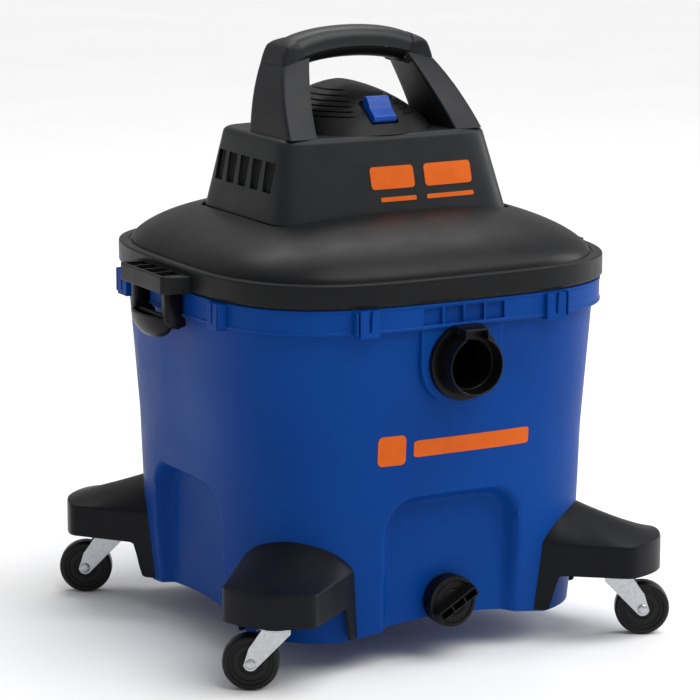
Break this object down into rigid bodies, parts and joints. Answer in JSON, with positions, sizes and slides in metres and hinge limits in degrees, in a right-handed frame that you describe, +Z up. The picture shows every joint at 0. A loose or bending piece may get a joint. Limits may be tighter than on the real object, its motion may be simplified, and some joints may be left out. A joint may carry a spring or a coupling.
{
  "type": "shop vacuum",
  "caption": "Wet and dry shop vacuum: open plastic tank on swivel caster feet, with a latched lift-off lid that carries the motor head, filter and carrying handle.",
  "frame": {"origin": "on the floor under the centre of the tank, at the middle of the four caster feet", "axes": "+Z up; -Y is the front, with the hose inlet and the drain; +X is the right side seen from the front"},
  "size_m": [0.5642, 0.5642, 0.699],
  "materials": {
    "tank_blue": "satin royal-blue moulded polypropylene",
    "lid_black": "satin charcoal-black moulded plastic",
    "head_black": "fine-textured charcoal-black moulded plastic",
    "gloss_black": "smooth black moulded plastic",
    "switch_blue": "smooth blue plastic",
    "zinc": "zinc-plated pressed steel",
    "wheel_black": "hard black plastic",
    "seal": "soft black rubber",
    "paper": "pleated filter paper",
    "float_white": "hollow white plastic",
    "copper": "enamelled copper wire and copper bars",
    "lamination": "stacked electrical steel",
    "alloy": "pressed aluminium"
  },
  "bodies": {
    "tank_base": {"tank": "tank_blue", "inlet_port": "gloss_black", "inlet_gasket": "seal", "inlet_deflector": "head_black", "foot_front_left": "gloss_black", "foot_front_right": "gloss_black", "foot_back_left": "gloss_black", "foot_back_right": "gloss_black", "stem_front_left": "zinc", "stem_front_right": "zinc", "stem_back_left": "zinc", "stem_back_right": "zinc"},
    "lid_head": {"lid": "lid_black", "lid_seal": "seal", "latch_pins": "zinc", "filter_cage": "head_black", "cage_screws": "zinc", "motor_housing": "head_black", "motor_cover": "gloss_black", "handle_posts": "gloss_black", "grip_upper": "gloss_black", "grip_lower": "gloss_black", "switch_body": "head_black", "cord_gland": "seal", "exhaust_port": "gloss_black", "fan_housing": "alloy", "fan_gasket": "seal", "motor_bracket": "alloy", "bearing_lower": "zinc", "bearing_upper": "zinc", "field_core": "lamination", "field_windings": "copper", "brush_holders": "copper"},
    "latch_left_arm": {"latch_left": "gloss_black"},
    "latch_right_arm": {"latch_right": "gloss_black"},
    "drain_seal": {"drain_gasket": "seal"},
    "drain_knob": {"drain_cap": "gloss_black"},
    "float": {"float_ball": "float_white"},
    "filter": {"filter_media": "paper", "filter_caps": "seal"},
    "rocker": {"switch_rocker": "switch_blue"},
    "rotor": {"motor_shaft": "zinc", "armature": "lamination", "commutator": "copper", "impeller": "alloy", "cooling_fan": "alloy"},
    "caster_front_left": {"fork_front_left": "zinc", "axle_front_left": "zinc"},
    "roller_front_left": {"wheel_front_left": "wheel_black"},
    "caster_front_right": {"fork_front_right": "zinc", "axle_front_right": "zinc"},
    "roller_front_right": {"wheel_front_right": "wheel_black"},
    "caster_back_left": {"fork_back_left": "zinc", "axle_back_left": "zinc"},
    "roller_back_left": {"wheel_back_left": "wheel_black"},
    "caster_back_right": {"fork_back_right": "zinc", "axle_back_right": "zinc"},
    "roller_back_right": {"wheel_back_right": "wheel_black"}
  },
  "joints": [
    {"name": "lid_lift", "type": "slide", "parent": "tank_base", "child": "lid_head", "axis": [0, 0, 1], "range_m": [0, 0.3]},
    {"name": "latch_left_swing", "type": "hinge", "parent": "lid_head", "child": "latch_left_arm", "pos_m": [-0.264, 0, 0.425], "axis": [0, 1, 0], "range_deg": [0, 38]},
    {"name": "latch_right_swing", "type": "hinge", "parent": "lid_head", "child": "latch_right_arm", "pos_m": [0.264, 0, 0.425], "axis": [0, -1, 0], "range_deg": [0, 38]},
    {"name": "drain_travel", "type": "slide", "parent": "tank_base", "child": "drain_seal", "axis": [0, -1, 0], "range_m": [0, 0.0121]},
    {"name": "drain_turn", "type": "hinge", "parent": "drain_seal", "child": "drain_knob", "pos_m": [0, -0.21, 0.069], "axis": [0, -1, 0], "range_deg": [0, 1080]},
    {"name": "float_rise", "type": "slide", "parent": "lid_head", "child": "float", "axis": [0, 0, 1], "range_m": [0, 0.095]},
    {"name": "filter_pull", "type": "slide", "parent": "lid_head", "child": "filter", "axis": [0, 0, -1], "range_m": [0, 0.18]},
    {"name": "switch_rock", "type": "hinge", "parent": "lid_head", "child": "rocker", "pos_m": [0, -0.04692, 0.60506], "axis": [1, 0, 0], "range_deg": [0, 14]},
    {"name": "motor_spin", "type": "hinge", "parent": "lid_head", "child": "rotor", "pos_m": [0, 0, 0.5], "axis": [0, 0, 1], "continuous": true},
    {"name": "swivel_front_left", "type": "hinge", "parent": "tank_base", "child": "caster_front_left", "pos_m": [-0.22345, -0.22345, 0.07], "axis": [0, 0, 1], "continuous": true},
    {"name": "roll_front_left", "type": "hinge", "parent": "caster_front_left", "child": "roller_front_left", "pos_m": [-0.24805, -0.21008, 0.03175], "axis": [0.4772, 0.8788, 0], "continuous": true},
    {"name": "swivel_front_right", "type": "hinge", "parent": "tank_base", "child": "caster_front_right", "pos_m": [0.22345, -0.22345, 0.07], "axis": [0, 0, 1], "continuous": true},
    {"name": "roll_front_right", "type": "hinge", "parent": "caster_front_right", "child": "roller_front_right", "pos_m": [0.24805, -0.23681, 0.03175], "axis": [-0.4772, -0.8788, 0], "continuous": true},
    {"name": "swivel_back_left", "type": "hinge", "parent": "tank_base", "child": "caster_back_left", "pos_m": [-0.22345, 0.22345, 0.07], "axis": [0, 0, 1], "continuous": true},
    {"name": "roll_back_left", "type": "hinge", "parent": "caster_back_left", "child": "roller_back_left", "pos_m": [-0.24805, 0.23681, 0.03175], "axis": [0.4772, 0.8788, 0], "continuous": true},
    {"name": "swivel_back_right", "type": "hinge", "parent": "tank_base", "child": "caster_back_right", "pos_m": [0.22345, 0.22345, 0.07], "axis": [0, 0, 1], "continuous": true},
    {"name": "roll_back_right", "type": "hinge", "parent": "caster_back_right", "child": "roller_back_right", "pos_m": [0.24805, 0.21008, 0.03175], "axis": [-0.4772, -0.8788, 0], "continuous": true}
  ],
  "couplings": [
    {"joint": "drain_travel", "follows": "drain_turn", "m_per_rad": 0.00063662}
  ]
}
